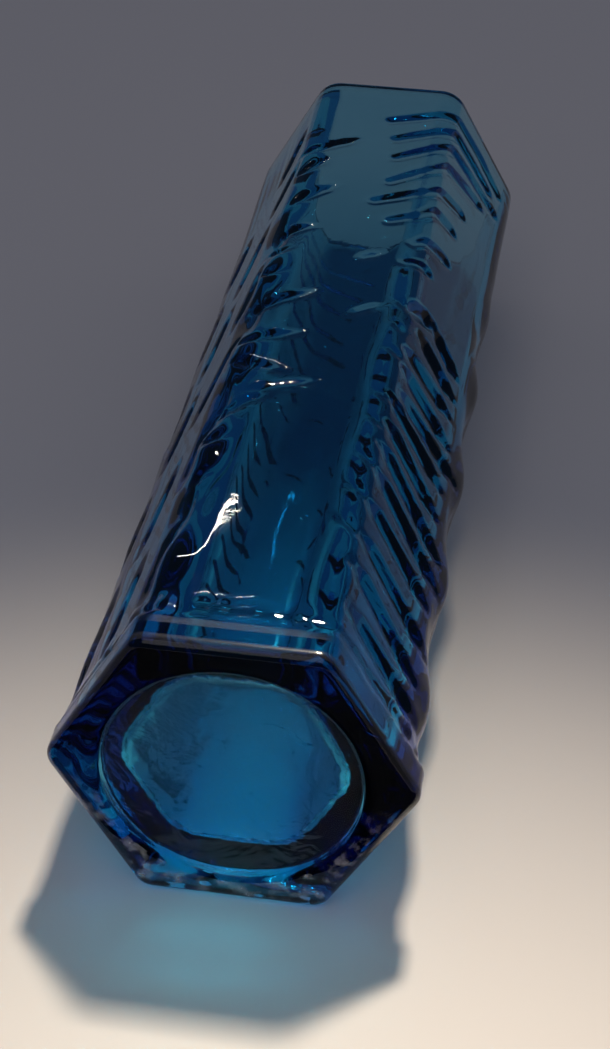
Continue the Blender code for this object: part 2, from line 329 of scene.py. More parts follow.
# %% Inputs of the tree
FACES_PER_HALF = 3
FACES = 2 * FACES_PER_HALF
COLUMNS = 240
FACE_COLUMNS = COLUMNS // FACES
FACE_WIDTH = 2 * ((APOTHEM - CORNER_RADIUS) * math.tan(TURN_30) + CORNER_RADIUS * TURN_30)
INPUTS = (
    ("Section", "NodeSocketObject", None),
    ("Grooves", "NodeSocketObject", None),
    ("Groove Width", "NodeSocketFloat", 6.0 * MM),
    ("Groove Depth", "NodeSocketFloat", 1.1 * MM),
    ("Body Inset", "NodeSocketFloat", 0.7 * MM),
    ("Deep Wave", "NodeSocketFloat", 1.8 * MM),
    ("Shallow Wave", "NodeSocketFloat", 0.4 * MM),
    ("Wave Reach", "NodeSocketFloat", 6.0 * MM),
    ("Wave Length", "NodeSocketFloat", 31.0 * MM),
    ("Foot Band", "NodeSocketFloat", 6.0 * MM),
    ("Rim Band", "NodeSocketFloat", HEIGHT - 5.0 * MM),
    ("Foot Blend", "NodeSocketFloat", 8.0 * MM),
    ("Rim Blend", "NodeSocketFloat", 40.0 * MM),
    ("Groove Blend", "NodeSocketFloat", 3.0 * MM),
    ("Ripple Outside", "NodeSocketFloat", 0.02 * MM),
    ("Ripple Inside", "NodeSocketFloat", 0.16 * MM),
    ("Glass", "NodeSocketMaterial", None),
)
print(f"each face is {FACE_WIDTH / MM:.1f} mm wide on the flat pattern, in {FACE_COLUMNS} columns")

# %% [markdown]
# A point's column says which face it is on, and how far along that face. A column on a corner belongs to the
# face that starts there, and a small nudge keeps a rounding error from putting it on the one before.

# %% Where each point lies on the flat pattern
FACE_NUDGE = 0.001


def place_on_pattern(tree):
    """Sockets for the grid's mesh and each point's station, face and place along that face, from -1 to 1."""
    given = tree.nodes.new("NodeGroupInput").outputs
    stations = add(tree, "GeometryNodeObjectInfo", {"Object": given["Section"]}).outputs["Geometry"]
    count = add(tree, "GeometryNodeAttributeDomainSize", {"Geometry": stations}).outputs["Point Count"]
    last = add(tree, "ShaderNodeMath", {0: count, 1: 1.0}, operation="SUBTRACT").outputs[0]
    grid = add(tree, "GeometryNodeMeshGrid", {
        "Size X": float(COLUMNS), "Size Y": last, "Vertices X": COLUMNS + 1, "Vertices Y": count})
    place = add(tree, "ShaderNodeSeparateXYZ", {0: add(tree, "GeometryNodeInputPosition").outputs[0]})
    column = add(tree, "ShaderNodeMath", {0: place.outputs["X"], 1: COLUMNS / 2}, operation="ADD").outputs[0]
    half = add(tree, "ShaderNodeMath", {0: last, 1: 0.5}, operation="MULTIPLY").outputs[0]
    row = add(tree, "ShaderNodeMath", {0: place.outputs["Y"], 1: half}, operation="ADD").outputs[0]
    station = add(tree, "ShaderNodeMath", {0: row}, operation="ROUND").outputs[0]
    faces_round = add(tree, "ShaderNodeMath", {0: column, 1: FACE_COLUMNS}, operation="DIVIDE").outputs[0]
    nudged = add(tree, "ShaderNodeMath", {0: faces_round, 1: FACE_NUDGE}, operation="ADD").outputs[0]
    face = add(tree, "ShaderNodeMath", {0: nudged}, operation="FLOOR").outputs[0]
    within = add(tree, "ShaderNodeMath", {0: faces_round, 1: face}, operation="SUBTRACT").outputs[0]
    along = add(tree, "ShaderNodeMath", {0: within, 1: 2.0, 2: -1.0}, operation="MULTIPLY_ADD").outputs[0]
    return given, stations, grid.outputs["Mesh"], station, face, along


def look_up(tree, stations, station):
    """Sockets for a station's half width, corner radius, height and pressed share."""
    spot = add(tree, "GeometryNodeSampleIndex", {
        "Geometry": stations, "Value": add(tree, "GeometryNodeInputPosition").outputs[0], "Index": station},
        data_type="FLOAT_VECTOR")
    parts = add(tree, "ShaderNodeSeparateXYZ", {0: spot.outputs[0]}).outputs
    named = add(tree, "GeometryNodeInputNamedAttribute", {"Name": "pressed"}, data_type="FLOAT")
    pressed = add(tree, "GeometryNodeSampleIndex", {
        "Geometry": stations, "Value": named.outputs[0], "Index": station}, data_type="FLOAT")
    return parts["X"], parts["Y"], parts["Z"], pressed.outputs[0]


# %% [markdown]
# A groove is deepest along its line and fades out over half its width. The lines are cut into points 0.4 mm
# apart, and each point of the glass looks for the nearest one. Over the last fifth of a line, at both ends,
# the groove gets narrower and shallower, as a tool leaves it. The pattern comes round twice, so the lines
# are copied one pattern to the left and to the right, and a groove can then run on over the pattern's edge.

# %% Points along the grooves
LINE_STEP = 0.4 * MM
TAPER_SHARE = 0.2


def groove_points(tree, given):
    """Socket for the lines as rows of points that know their size, three patterns side by side."""
    lines = add(tree, "GeometryNodeObjectInfo", {"Object": given["Grooves"]}).outputs["Geometry"]
    fine = add(tree, "GeometryNodeResampleCurve", {
        "Curve": lines, "Length": LINE_STEP}, mode="LENGTH").outputs[0]
    share = add(tree, "GeometryNodeSplineParameter").outputs["Factor"]
    from_end = add(tree, "ShaderNodeMath", {0: share, 1: 0.5}, operation="PINGPONG").outputs[0]
    left_at_end = add(tree, "GeometryNodeInputCurveTilt").outputs[0]
    taper = add(tree, "ShaderNodeMapRange", {
        "Value": from_end, "From Min": 0.0, "From Max": TAPER_SHARE, "To Min": left_at_end, "To Max": 1.0},
        interpolation_type="SMOOTHSTEP").outputs[0]
    radius = add(tree, "GeometryNodeInputRadius").outputs[0]
    size = add(tree, "ShaderNodeMath", {0: taper, 1: radius}, operation="MULTIPLY").outputs[0]
    sized = add(tree, "GeometryNodeStoreNamedAttribute", {
        "Geometry": fine, "Name": "size", "Value": size}, data_type="FLOAT", domain="POINT").outputs[0]
    points = add(tree, "GeometryNodeCurveToMesh", {"Curve": sized}).outputs[0]
    copies = add(tree, "GeometryNodeJoinGeometry")
    for turn in (-1, 0, 1):
        moved = add(tree, "GeometryNodeTransform", {
            "Geometry": points, "Translation": (turn * FACES_PER_HALF * FACE_WIDTH, 0, 0)})
        tree.links.new(moved.outputs[0], copies.inputs[0])
    return copies.outputs[0]


# %% Depth of the nearest groove
def groove_depth(tree, given, on_pattern):
    """Socket for how deep the nearest groove is at a place on the flat pattern."""
    points = groove_points(tree, given)
    nearest = add(tree, "GeometryNodeSampleNearest", {
        "Geometry": points, "Sample Position": on_pattern}, domain="POINT").outputs[0]
    position = add(tree, "GeometryNodeInputPosition").outputs[0]
    spot = add(tree, "GeometryNodeSampleIndex", {
        "Geometry": points, "Value": position, "Index": nearest}, data_type="FLOAT_VECTOR").outputs[0]
    size = add(tree, "GeometryNodeInputNamedAttribute", {"Name": "size"}, data_type="FLOAT").outputs[0]
    its_size = add(tree, "GeometryNodeSampleIndex", {
        "Geometry": points, "Value": size, "Index": nearest}, data_type="FLOAT").outputs[0]
    away = add(tree, "ShaderNodeVectorMath", {
        0: on_pattern, 1: spot}, operation="DISTANCE").outputs["Value"]
    width = add(tree, "ShaderNodeMath", {
        0: given["Groove Width"], 1: its_size}, operation="MULTIPLY").outputs[0]
    reach = add(tree, "ShaderNodeMath", {0: width, 1: 0.5}, operation="MULTIPLY").outputs[0]
    part = add(tree, "ShaderNodeMath", {0: away, 1: reach}, operation="DIVIDE").outputs[0]
    squared = add(tree, "ShaderNodeMath", {0: part, 1: 2.0}, operation="POWER").outputs[0]
    left = add(tree, "ShaderNodeMath", {0: 1.0, 1: squared}, operation="SUBTRACT", use_clamp=True).outputs[0]
    bowl = add(tree, "ShaderNodeMath", {0: left, 1: 2.0}, operation="POWER").outputs[0]
    its_depth = add(tree, "ShaderNodeMath", {0: its_size, 1: 2.0}, operation="POWER").outputs[0]
    deepest = add(tree, "ShaderNodeMath", {
        0: given["Groove Depth"], 1: its_depth}, operation="MULTIPLY").outputs[0]
    return add(tree, "ShaderNodeMath", {0: bowl, 1: deepest}, operation="MULTIPLY").outputs[0]


# %% [markdown]
# The corners aren't straight: between the bands they swell and draw in about every 31 mm, strongly on every
# second corner and faintly on the others, and the waves die away towards the rim. A cosine along the height
# does it, scaled by how near the point is to a corner. The whole body is also set in a little, so that the
# foot stands proud.

# %% Waves of the corners
WAVE_FADE_START = 0.62 * HEIGHT
WAVE_FADE_END = 0.82 * HEIGHT


def wave_depth(tree, given, round_vase, height):
    """Socket for how far the body lies inside the plain prism: its inset, and the long waves on top."""
    from_deep = add(tree, "ShaderNodeMath", {0: round_vase, 1: FACE_WIDTH}, operation="PINGPONG").outputs[0]
    from_shallow = add(tree, "ShaderNodeMath", {0: FACE_WIDTH, 1: from_deep}, operation="SUBTRACT").outputs[0]
    swells = []
    for away, depth in ((from_deep, "Deep Wave"), (from_shallow, "Shallow Wave")):
        swell = add(tree, "ShaderNodeMapRange", {
            "Value": away, "From Min": 0.0, "From Max": given["Wave Reach"],
            "To Min": given[depth], "To Max": 0.0}, interpolation_type="SMOOTHSTEP")
        swells.append(swell.outputs[0])
    swell = add(tree, "ShaderNodeMath", {0: swells[0], 1: swells[1]}, operation="ADD").outputs[0]
    raised = add(tree, "ShaderNodeMath", {0: height, 1: given["Foot Band"]}, operation="SUBTRACT").outputs[0]
    turns = add(tree, "ShaderNodeMath", {0: raised, 1: given["Wave Length"]}, operation="DIVIDE").outputs[0]
    phase = add(tree, "ShaderNodeMath", {0: turns, 1: math.tau}, operation="MULTIPLY").outputs[0]
    wave = add(tree, "ShaderNodeMath", {0: phase}, operation="COSINE").outputs[0]
    left = add(tree, "ShaderNodeMapRange", {
        "Value": height, "From Min": WAVE_FADE_START, "From Max": WAVE_FADE_END,
        "To Min": 1.0, "To Max": 0.0}, interpolation_type="SMOOTHSTEP").outputs[0]
    swing = add(tree, "ShaderNodeMath", {0: wave, 1: 0.5, 2: 0.5}, operation="MULTIPLY_ADD").outputs[0]
    fading = add(tree, "ShaderNodeMath", {0: swing, 1: left}, operation="MULTIPLY").outputs[0]
    return add(tree, "ShaderNodeMath", {
        0: swell, 1: fading, 2: given["Body Inset"]}, operation="MULTIPLY_ADD").outputs[0]


# %% [markdown]
# Two bands stay plain. The waves fade in slowly above the foot and out over a long way below the rim. The
# grooves start and stop sooner. A mould isn't trimmed to a line, so the height at which the waves fade
# wanders up and down round the vase, driven by a noise that is read round a circle and so closes on itself.

# %% Bands
BAND_SHIFT = 9.0 * MM
WANDERS_PER_TURN = 14


def share_between(tree, height, bottom, bottom_blend, top, top_blend):
    """Socket that is 0 up to the bottom and from the top on, and 1 between them, past a blend at each."""
    foot_end = add(tree, "ShaderNodeMath", {0: bottom, 1: bottom_blend}, operation="ADD").outputs[0]
    rim_start = add(tree, "ShaderNodeMath", {0: top, 1: top_blend}, operation="SUBTRACT").outputs[0]
    foot = add(tree, "ShaderNodeMapRange", {"Value": height, "From Min": bottom, "From Max": foot_end},
               interpolation_type="SMOOTHSTEP").outputs[0]
    rim = add(tree, "ShaderNodeMapRange", {"Value": height, "From Min": top, "From Max": rim_start},
              interpolation_type="SMOOTHSTEP").outputs[0]
    return add(tree, "ShaderNodeMath", {0: foot, 1: rim}, operation="MULTIPLY").outputs[0]


def wandering(tree, round_vase, height):
    """Socket for the height, shifted up and down by a noise round the vase."""
    turn = add(tree, "ShaderNodeMath", {
        0: round_vase, 1: math.tau / (FACES * FACE_WIDTH)}, operation="MULTIPLY")
    ahead = add(tree, "ShaderNodeVectorRotate", {
        "Vector": (1.0, 0.0, 0.0), "Angle": turn.outputs[0]}, rotation_type="Z_AXIS")
    noise = add(tree, "ShaderNodeTexNoise", {
        "Vector": ahead.outputs[0], "Scale": WANDERS_PER_TURN / 2, "Detail": 1.0}, noise_dimensions="3D")
    centred = add(tree, "ShaderNodeMath", {0: noise.outputs[0], 1: 0.5}, operation="SUBTRACT")
    return add(tree, "ShaderNodeMath", {
        0: centred.outputs[0], 1: BAND_SHIFT, 2: height}, operation="MULTIPLY_ADD").outputs[0]


# %% How far each point is pressed in
def pressed_in(tree, given, face, along, height):
    """Socket for how far the mould presses the outside in, by its waves and grooves."""
    next_face = add(tree, "ShaderNodeMath", {0: face, 1: 1.0}, operation="ADD").outputs[0]
    kind = add(tree, "ShaderNodeMath", {
        0: next_face, 1: float(FACES_PER_HALF)}, operation="FLOORED_MODULO").outputs[0]
    faces_over = add(tree, "ShaderNodeMath", {0: along, 1: 0.5, 2: kind}, operation="MULTIPLY_ADD").outputs[0]
    sideways = add(tree, "ShaderNodeMath", {0: faces_over, 1: FACE_WIDTH}, operation="MULTIPLY").outputs[0]
    on_pattern = add(tree, "ShaderNodeCombineXYZ", {"X": sideways, "Y": height}).outputs[0]
    faces_round = add(tree, "ShaderNodeMath", {
        0: along, 1: 0.5, 2: face}, operation="MULTIPLY_ADD").outputs[0]
    from_corner = add(tree, "ShaderNodeMath", {0: faces_round, 1: 0.5}, operation="SUBTRACT").outputs[0]
    round_vase = add(tree, "ShaderNodeMath", {
        0: from_corner, 1: FACE_WIDTH}, operation="MULTIPLY").outputs[0]
    wave = wave_depth(tree, given, round_vase, height)
    groove = groove_depth(tree, given, on_pattern)
    waved = share_between(tree, wandering(tree, round_vase, height), given["Foot Band"],
                          given["Foot Blend"], HEIGHT, given["Rim Blend"])
    grooved = share_between(tree, height, given["Foot Band"], given["Groove Blend"],
                            given["Rim Band"], given["Groove Blend"])
    waves = add(tree, "ShaderNodeMath", {0: wave, 1: waved}, operation="MULTIPLY").outputs[0]
    return add(tree, "ShaderNodeMath", {
        0: groove, 1: grooved, 2: waves}, operation="MULTIPLY_ADD").outputs[0]


# %% [markdown]
# To roll a row up, each face is drawn flat and its corner as an arc. The part of the face that is flat is a
# share of its length, and the rest turns by up to 30 degrees on each side. The relief shortens the arm from
# the corner's centre, so that it is pressed square to the surface everywhere.

# %% Rolling a row round its hexagon
def rolled(tree, face, along, half_width, corner, height, inward):
    """Socket for each point's place on the rolled vase."""
    arm = add(tree, "ShaderNodeMath", {0: half_width, 1: corner}, operation="SUBTRACT").outputs[0]
    flat = add(tree, "ShaderNodeMath", {0: arm, 1: math.tan(TURN_30)}, operation="MULTIPLY").outputs[0]
    length = add(tree, "ShaderNodeMath", {
        0: corner, 1: TURN_30, 2: flat}, operation="MULTIPLY_ADD").outputs[0]
    share = add(tree, "ShaderNodeMath", {0: flat, 1: length}, operation="DIVIDE").outputs[0]
    over_left = add(tree, "ShaderNodeMath", {0: share, 1: -1.0}, operation="MULTIPLY").outputs[0]
    held = add(tree, "ShaderNodeClamp", {"Value": along, "Min": over_left, "Max": share}).outputs[0]
    beyond = add(tree, "ShaderNodeMath", {0: along, 1: held}, operation="SUBTRACT").outputs[0]
    across = add(tree, "ShaderNodeMath", {0: held, 1: length}, operation="MULTIPLY").outputs[0]
    round_share = add(tree, "ShaderNodeMath", {0: 1.0, 1: share}, operation="SUBTRACT").outputs[0]
    turned = add(tree, "ShaderNodeMath", {0: beyond, 1: round_share}, operation="DIVIDE").outputs[0]
    turn = add(tree, "ShaderNodeMath", {0: turned, 1: TURN_30}, operation="MULTIPLY").outputs[0]
    reach = add(tree, "ShaderNodeMath", {0: corner, 1: inward}, operation="SUBTRACT").outputs[0]
    cosine = add(tree, "ShaderNodeMath", {0: turn}, operation="COSINE").outputs[0]
    sine = add(tree, "ShaderNodeMath", {0: turn}, operation="SINE").outputs[0]
    out = add(tree, "ShaderNodeMath", {0: reach, 1: cosine, 2: arm}, operation="MULTIPLY_ADD").outputs[0]
    side = add(tree, "ShaderNodeMath", {0: reach, 1: sine, 2: across}, operation="MULTIPLY_ADD").outputs[0]
    spot = add(tree, "ShaderNodeCombineXYZ", {"X": out, "Y": side, "Z": height}).outputs[0]
    heading = add(tree, "ShaderNodeMath", {
        0: face, 1: 2 * TURN_30, 2: TURN_30}, operation="MULTIPLY_ADD").outputs[0]
    return add(tree, "ShaderNodeVectorRotate", {
        "Vector": spot, "Angle": heading}, rotation_type="Z_AXIS").outputs[0]


# %% [markdown]
# Hot glass that touches a mould is never quite flat. A soft ripple, a fraction of a millimetre high, is added
# along the surface's own direction. It is faint outside, stronger inside where the plunger went, and fades
# to nothing at the foot so that the vase stands flat. It bends what is seen through the glass, and that is
# what makes it look pressed and not machined.

# %% Ripple
RIPPLE_SPACING = 9.0 * MM
RIPPLE_START = 1.0 * MM


def ripple_offset(tree, given):
    """Socket for how far each point of the closed glass moves along its normal."""
    noise = add(tree, "ShaderNodeTexNoise", {
        "Scale": 1 / RIPPLE_SPACING, "Detail": 2.0}, noise_dimensions="3D")
    centred = add(tree, "ShaderNodeMath", {0: noise.outputs[0], 1: 0.5}, operation="SUBTRACT").outputs[0]
    position = add(tree, "GeometryNodeInputPosition").outputs[0]
    height = add(tree, "ShaderNodeSeparateXYZ", {0: position}).outputs["Z"]
    off_foot = add(tree, "ShaderNodeMapRange", {
        "Value": height, "From Min": RIPPLE_START, "From Max": given["Foot Blend"]}).outputs[0]
    outside = add(tree, "GeometryNodeInputNamedAttribute", {"Name": "outside"}, data_type="FLOAT").outputs[0]
    most = add(tree, "ShaderNodeMapRange", {
        "Value": outside, "To Min": given["Ripple Inside"], "To Max": given["Ripple Outside"]}).outputs[0]
    amount = add(tree, "ShaderNodeMath", {0: off_foot, 1: most}, operation="MULTIPLY").outputs[0]
    lift = add(tree, "ShaderNodeMath", {0: centred, 1: amount}, operation="MULTIPLY").outputs[0]
    normal = add(tree, "GeometryNodeInputNormal").outputs[0]
    return add(tree, "ShaderNodeVectorMath", {0: normal, "Scale": lift}, operation="SCALE").outputs[0]


# %% The finished tree
MERGE_DISTANCE = 0.001 * MM


def press_tree():
    """The whole rule, from section and grooves to closed glass."""
    tree = bpy.data.node_groups.new("press_glass", "GeometryNodeTree")
    for name, kind, value in INPUTS:
        socket = tree.interface.new_socket(name, in_out="INPUT", socket_type=kind)
        if value is not None:
            socket.default_value = value
    tree.interface.new_socket("Geometry", in_out="OUTPUT", socket_type="NodeSocketGeometry")
    given, stations, grid, station, face, along = place_on_pattern(tree)
    half_width, corner, height, pressed = look_up(tree, stations, station)
    relief = pressed_in(tree, given, face, along, height)
    inward = add(tree, "ShaderNodeMath", {0: relief, 1: pressed}, operation="MULTIPLY").outputs[0]
    spot = rolled(tree, face, along, half_width, corner, height, inward)
    marked = add(tree, "GeometryNodeStoreNamedAttribute", {
        "Geometry": grid, "Name": "outside", "Value": pressed}, data_type="FLOAT", domain="POINT").outputs[0]
    shaped = add(tree, "GeometryNodeSetPosition", {"Geometry": marked, "Position": spot}).outputs[0]
    closed = add(tree, "GeometryNodeMergeByDistance", {
        "Geometry": shaped, "Distance": MERGE_DISTANCE}).outputs[0]
    rippled = add(tree, "GeometryNodeSetPosition", {
        "Geometry": closed, "Offset": ripple_offset(tree, given)}).outputs[0]
    smooth = add(tree, "GeometryNodeSetShadeSmooth", {"Geometry": rippled}).outputs[0]
    real = add(tree, "GeometryNodeRealizeInstances", {"Geometry": smooth}).outputs[0]
    finished = add(tree, "GeometryNodeSetMaterial", {"Geometry": real, "Material": given["Glass"]}).outputs[0]
    tree.links.new(finished, tree.nodes.new("NodeGroupOutput").inputs[0])
    return tree


# %% [markdown]
# ## Directions
# The vase stands upright in its own frame but lies down in the picture. Three directions say how the picture
# sees it. They place what depends on that: the worn side of the foot, the planes and the lamps.

# %% Directions in the picture: right, up and away from us
RIGHT = Vector((math.sin(TURN_30), math.cos(TURN_30), 0))
UP = Vector((math.cos(TURN_30), -math.sin(TURN_30), 0))
AWAY = Vector((0, 0, 1))
print("up crossed with right points away, 1 if exactly:", round(UP.cross(RIGHT).dot(AWAY), 3))

# %% [markdown]
# ## Relief of the glass
# Soda-lime glass leaves the mould with a skin that is smooth but not perfect, so a fine bump breaks up the
# highlights. The base cools last and slowest, and there the surface has slow swirls, seen through the round
# recess. Both are drawn as bumps, which bend the light without adding triangles.

# %% Relief of the glass
FINE_RIPPLE = 2.5 * MM
FINE_RIPPLE_HEIGHT = 0.006 * MM
SWIRL = 7.0 * MM
SWIRL_HEIGHT = 0.5 * MM
BASE_MIDDLE = 3.5 * MM
BASE_REACH = 2.8 * MM


def glass_relief(tree, place, height, from_axis):
    """Socket for the normal: a fine ripple everywhere, and slow swirls on the base inside the recess."""
    ripple = add(tree, "ShaderNodeTexNoise", {"Vector": place, "Scale": 1 / FINE_RIPPLE, "Detail": 3.0})
    fine = add(tree, "ShaderNodeBump", {
        "Height": ripple.outputs[0], "Distance": FINE_RIPPLE_HEIGHT, "Strength": 1.0})
    swirl = add(tree, "ShaderNodeTexNoise", {
        "Vector": place, "Scale": 1 / SWIRL, "Detail": 2.0, "Distortion": 1.5})
    in_base = add(tree, "ShaderNodeMath", {0: height, 1: BASE_MIDDLE, 2: BASE_REACH}, operation="COMPARE")
    in_hollow = add(tree, "ShaderNodeMath", {0: from_axis, 1: RECESS_RADIUS}, operation="LESS_THAN")
    swirling = add(tree, "ShaderNodeMath", {
        0: in_base.outputs[0], 1: in_hollow.outputs[0]}, operation="MULTIPLY")
    return add(tree, "ShaderNodeBump", {
        "Height": swirl.outputs[0], "Distance": SWIRL_HEIGHT, "Strength": swirling.outputs[0],
        "Normal": fine.outputs[0]}).outputs[0]


# %% [markdown]
# ## Finish of the glass
# Most of the surface is fire-polished: almost a mirror, a little duller where it has been handled. Three
# places differ. The floor of the cavity is satin, as the plunger leaves it. The recess is misted, with a
# trace of matt haze. The flat ring that the vase stands on is rubbed dull in patches, here only on the side
# that is low in the picture. Each place is found by its height, or by its distance along a direction.

# %% Finish of the glass
HANDLED_PATCH = 14.0 * MM
HANDLED_FROM = 0.35
HANDLED_TO = 0.7
POLISHED_ROUGHNESS = 0.01
HANDLED_ROUGHNESS = 0.05
SATIN_ROUGHNESS = 0.25
SATIN_REACH = 0.8 * MM
RECESS_ROUGHNESS = 0.16
RECESS_HAZE = 0.012
RECESS_REACH = 0.6 * MM
WORN_PATCH = 2.2 * MM
WORN_FROM = 0.48
WORN_TO = 0.75
WORN_ROUGHNESS = 0.35
RING_REACH = 0.1 * MM
RUBBED_START = -2.0 * MM
RUBBED_END = -16.0 * MM


def worn_ring(tree, place, height):
    """Socket for how worn the flat ring is: 0 where it isn't, more in patches on its low side."""
    patches = add(tree, "ShaderNodeTexNoise", {"Vector": place, "Scale": 1 / WORN_PATCH, "Detail": 5.0})
    worn = add(tree, "ShaderNodeMapRange", {
        "Value": patches.outputs[0], "From Min": WORN_FROM, "From Max": WORN_TO,
        "To Min": 0.0, "To Max": WORN_ROUGHNESS})
    on_ring = add(tree, "ShaderNodeMath", {0: height, 1: RING_REACH}, operation="LESS_THAN")
    raised = add(tree, "ShaderNodeVectorMath", {0: place, 1: tuple(UP)}, operation="DOT_PRODUCT")
    low_side = add(tree, "ShaderNodeMapRange", {
        "Value": raised.outputs["Value"], "From Min": RUBBED_START, "From Max": RUBBED_END,
        "To Min": 0.0, "To Max": 1.0})
    rubbed = add(tree, "ShaderNodeMath", {
        0: on_ring.outputs[0], 1: low_side.outputs[0]}, operation="MULTIPLY")
    return add(tree, "ShaderNodeMath", {
        0: rubbed.outputs[0], 1: worn.outputs[0]}, operation="MULTIPLY").outputs[0]


def glass_finish(tree, place, height):
    """Sockets for the roughness, and for the share of the surface that is clear and not matt."""
    handled = add(tree, "ShaderNodeTexNoise", {"Vector": place, "Scale": 1 / HANDLED_PATCH, "Detail": 4.0})
    polish = add(tree, "ShaderNodeMapRange", {
        "Value": handled.outputs[0], "From Min": HANDLED_FROM, "From Max": HANDLED_TO,
        "To Min": POLISHED_ROUGHNESS, "To Max": HANDLED_ROUGHNESS})
    on_floor = add(tree, "ShaderNodeMath", {0: height, 1: FLOOR_HEIGHT, 2: SATIN_REACH}, operation="COMPARE")
    satin = add(tree, "ShaderNodeMath", {0: on_floor.outputs[0], 1: SATIN_ROUGHNESS}, operation="MULTIPLY")
    in_recess = add(tree, "ShaderNodeMath", {
        0: height, 1: RECESS_DEPTH, 2: RECESS_REACH}, operation="COMPARE")
    misted = add(tree, "ShaderNodeMath", {0: in_recess.outputs[0], 1: RECESS_ROUGHNESS}, operation="MULTIPLY")
    inner = add(tree, "ShaderNodeMath", {0: satin.outputs[0], 1: misted.outputs[0]}, operation="MAXIMUM")
    worn = worn_ring(tree, place, height)
    used = add(tree, "ShaderNodeMath", {0: inner.outputs[0], 1: worn}, operation="MAXIMUM")
    rough = add(tree, "ShaderNodeMath", {0: polish.outputs[0], 1: used.outputs[0]}, operation="MAXIMUM")
    haze = add(tree, "ShaderNodeMath", {0: in_recess.outputs[0], 1: RECESS_HAZE}, operation="MULTIPLY")
    matt = add(tree, "ShaderNodeMath", {0: worn, 1: haze.outputs[0]}, operation="MAXIMUM")
    clear = add(tree, "ShaderNodeMath", {0: 1.0, 1: matt.outputs[0]}, operation="SUBTRACT")
    return rough.outputs[0], clear.outputs[0]


# %% [markdown]
# ## Lamp light that passes the glass
# Real glass bends a lamp's light, so its shadow holds a bright patch where the light is gathered and dark
# edges where it is bent away. Following that light is slow and noisy, so the vase takes a shortcut: to a ray
# that looks for a lamp it is a filter that lets a share of the light through, less towards the sides. The
# shares are listed below. They make a shadow that looks right, but they are not worked out from the glass.

# %% Share of the lamps' light that passes
BASE_FADE_START = 8.0 * MM
BASE_FADE_END = 15.0 * MM
THROUGH_BASE_MIDDLE = 0.8
THROUGH_BASE_EDGE = 0.2
WALL_FADE_START = 9.0 * MM
WALL_FADE_END = 22.0 * MM
THROUGH_WALL_MIDDLE = 0.5
THROUGH_WALL_SIDE = 0.1


def lamp_filter(tree, place, height, from_axis):
    """Socket for the shader that a ray on its way to a lamp meets."""
    through_base = add(tree, "ShaderNodeMapRange", {
        "Value": from_axis, "From Min": BASE_FADE_START, "From Max": BASE_FADE_END,
        "To Min": THROUGH_BASE_MIDDLE, "To Max": THROUGH_BASE_EDGE}, interpolation_type="SMOOTHSTEP")
    sideways = add(tree, "ShaderNodeVectorMath", {0: place, 1: tuple(RIGHT)}, operation="DOT_PRODUCT")
    beside = add(tree, "ShaderNodeMath", {0: sideways.outputs["Value"]}, operation="ABSOLUTE")
    through_wall = add(tree, "ShaderNodeMapRange", {
        "Value": beside.outputs[0], "From Min": WALL_FADE_START, "From Max": WALL_FADE_END,
        "To Min": THROUGH_WALL_MIDDLE, "To Max": THROUGH_WALL_SIDE}, interpolation_type="SMOOTHSTEP")
    above_base = add(tree, "ShaderNodeMath", {
        0: height, 1: FLOOR_HEIGHT + FLOOR_EDGE}, operation="GREATER_THAN")
    passing = add(tree, "ShaderNodeMix", {
        "Factor": above_base.outputs[0], "A": through_base.outputs[0], "B": through_wall.outputs[0]},
        data_type="FLOAT")
    return add(tree, "ShaderNodeBsdfTransparent", {"Color": passing.outputs[0]}).outputs[0]


# %% [markdown]
# ## The glass
# Soda-lime glass coloured all through with copper and a little cobalt. The surface itself is clear: the
# colour comes from the light's path inside the glass, so a thin wall looks pale and a corner or the foot
# looks almost navy. That is what Volume Absorption does. The tint is the colour that passes best, and the
# density says how fast the rest is lost.

# %% Glass material
GLASS_IOR = 1.52
GLASS_TINT = linear("36E6F8")
TINT_DENSITY = 240.0


def soda_lime_glass():
    """Peacock blue pressed glass."""
    material = bpy.data.materials.new("soda_lime_glass_peacock")
    material.use_nodes = True
    tree = material.node_tree
    tree.nodes.clear()
    place = add(tree, "ShaderNodeTexCoord").outputs["Object"]
    spot = add(tree, "ShaderNodeSeparateXYZ", {0: place}).outputs
    flat_spot = add(tree, "ShaderNodeCombineXYZ", {"X": spot["X"], "Y": spot["Y"]}).outputs[0]
    from_axis = add(tree, "ShaderNodeVectorMath", {0: flat_spot}, operation="LENGTH").outputs["Value"]
    normal = glass_relief(tree, place, spot["Z"], from_axis)
    rough, clear = glass_finish(tree, place, spot["Z"])
    surface = add(tree, "ShaderNodeBsdfPrincipled", {
        "Base Color": (1, 1, 1, 1), "Roughness": rough, "IOR": GLASS_IOR,
        "Transmission Weight": clear, "Normal": normal}).outputs[0]
    inside = add(tree, "ShaderNodeVolumeAbsorption", {"Color": (*GLASS_TINT, 1), "Density": TINT_DENSITY})
    passing = lamp_filter(tree, place, spot["Z"], from_axis)
    to_lamp = add(tree, "ShaderNodeLightPath").outputs["Is Shadow Ray"]
    both = add(tree, "ShaderNodeMixShader", {"Fac": to_lamp, 1: surface, 2: passing})
    add(tree, "ShaderNodeOutputMaterial", {"Surface": both.outputs[0], "Volume": inside.outputs[0]})
    return material


glass = soda_lime_glass()
print("nodes in the glass:", len(glass.node_tree.nodes))
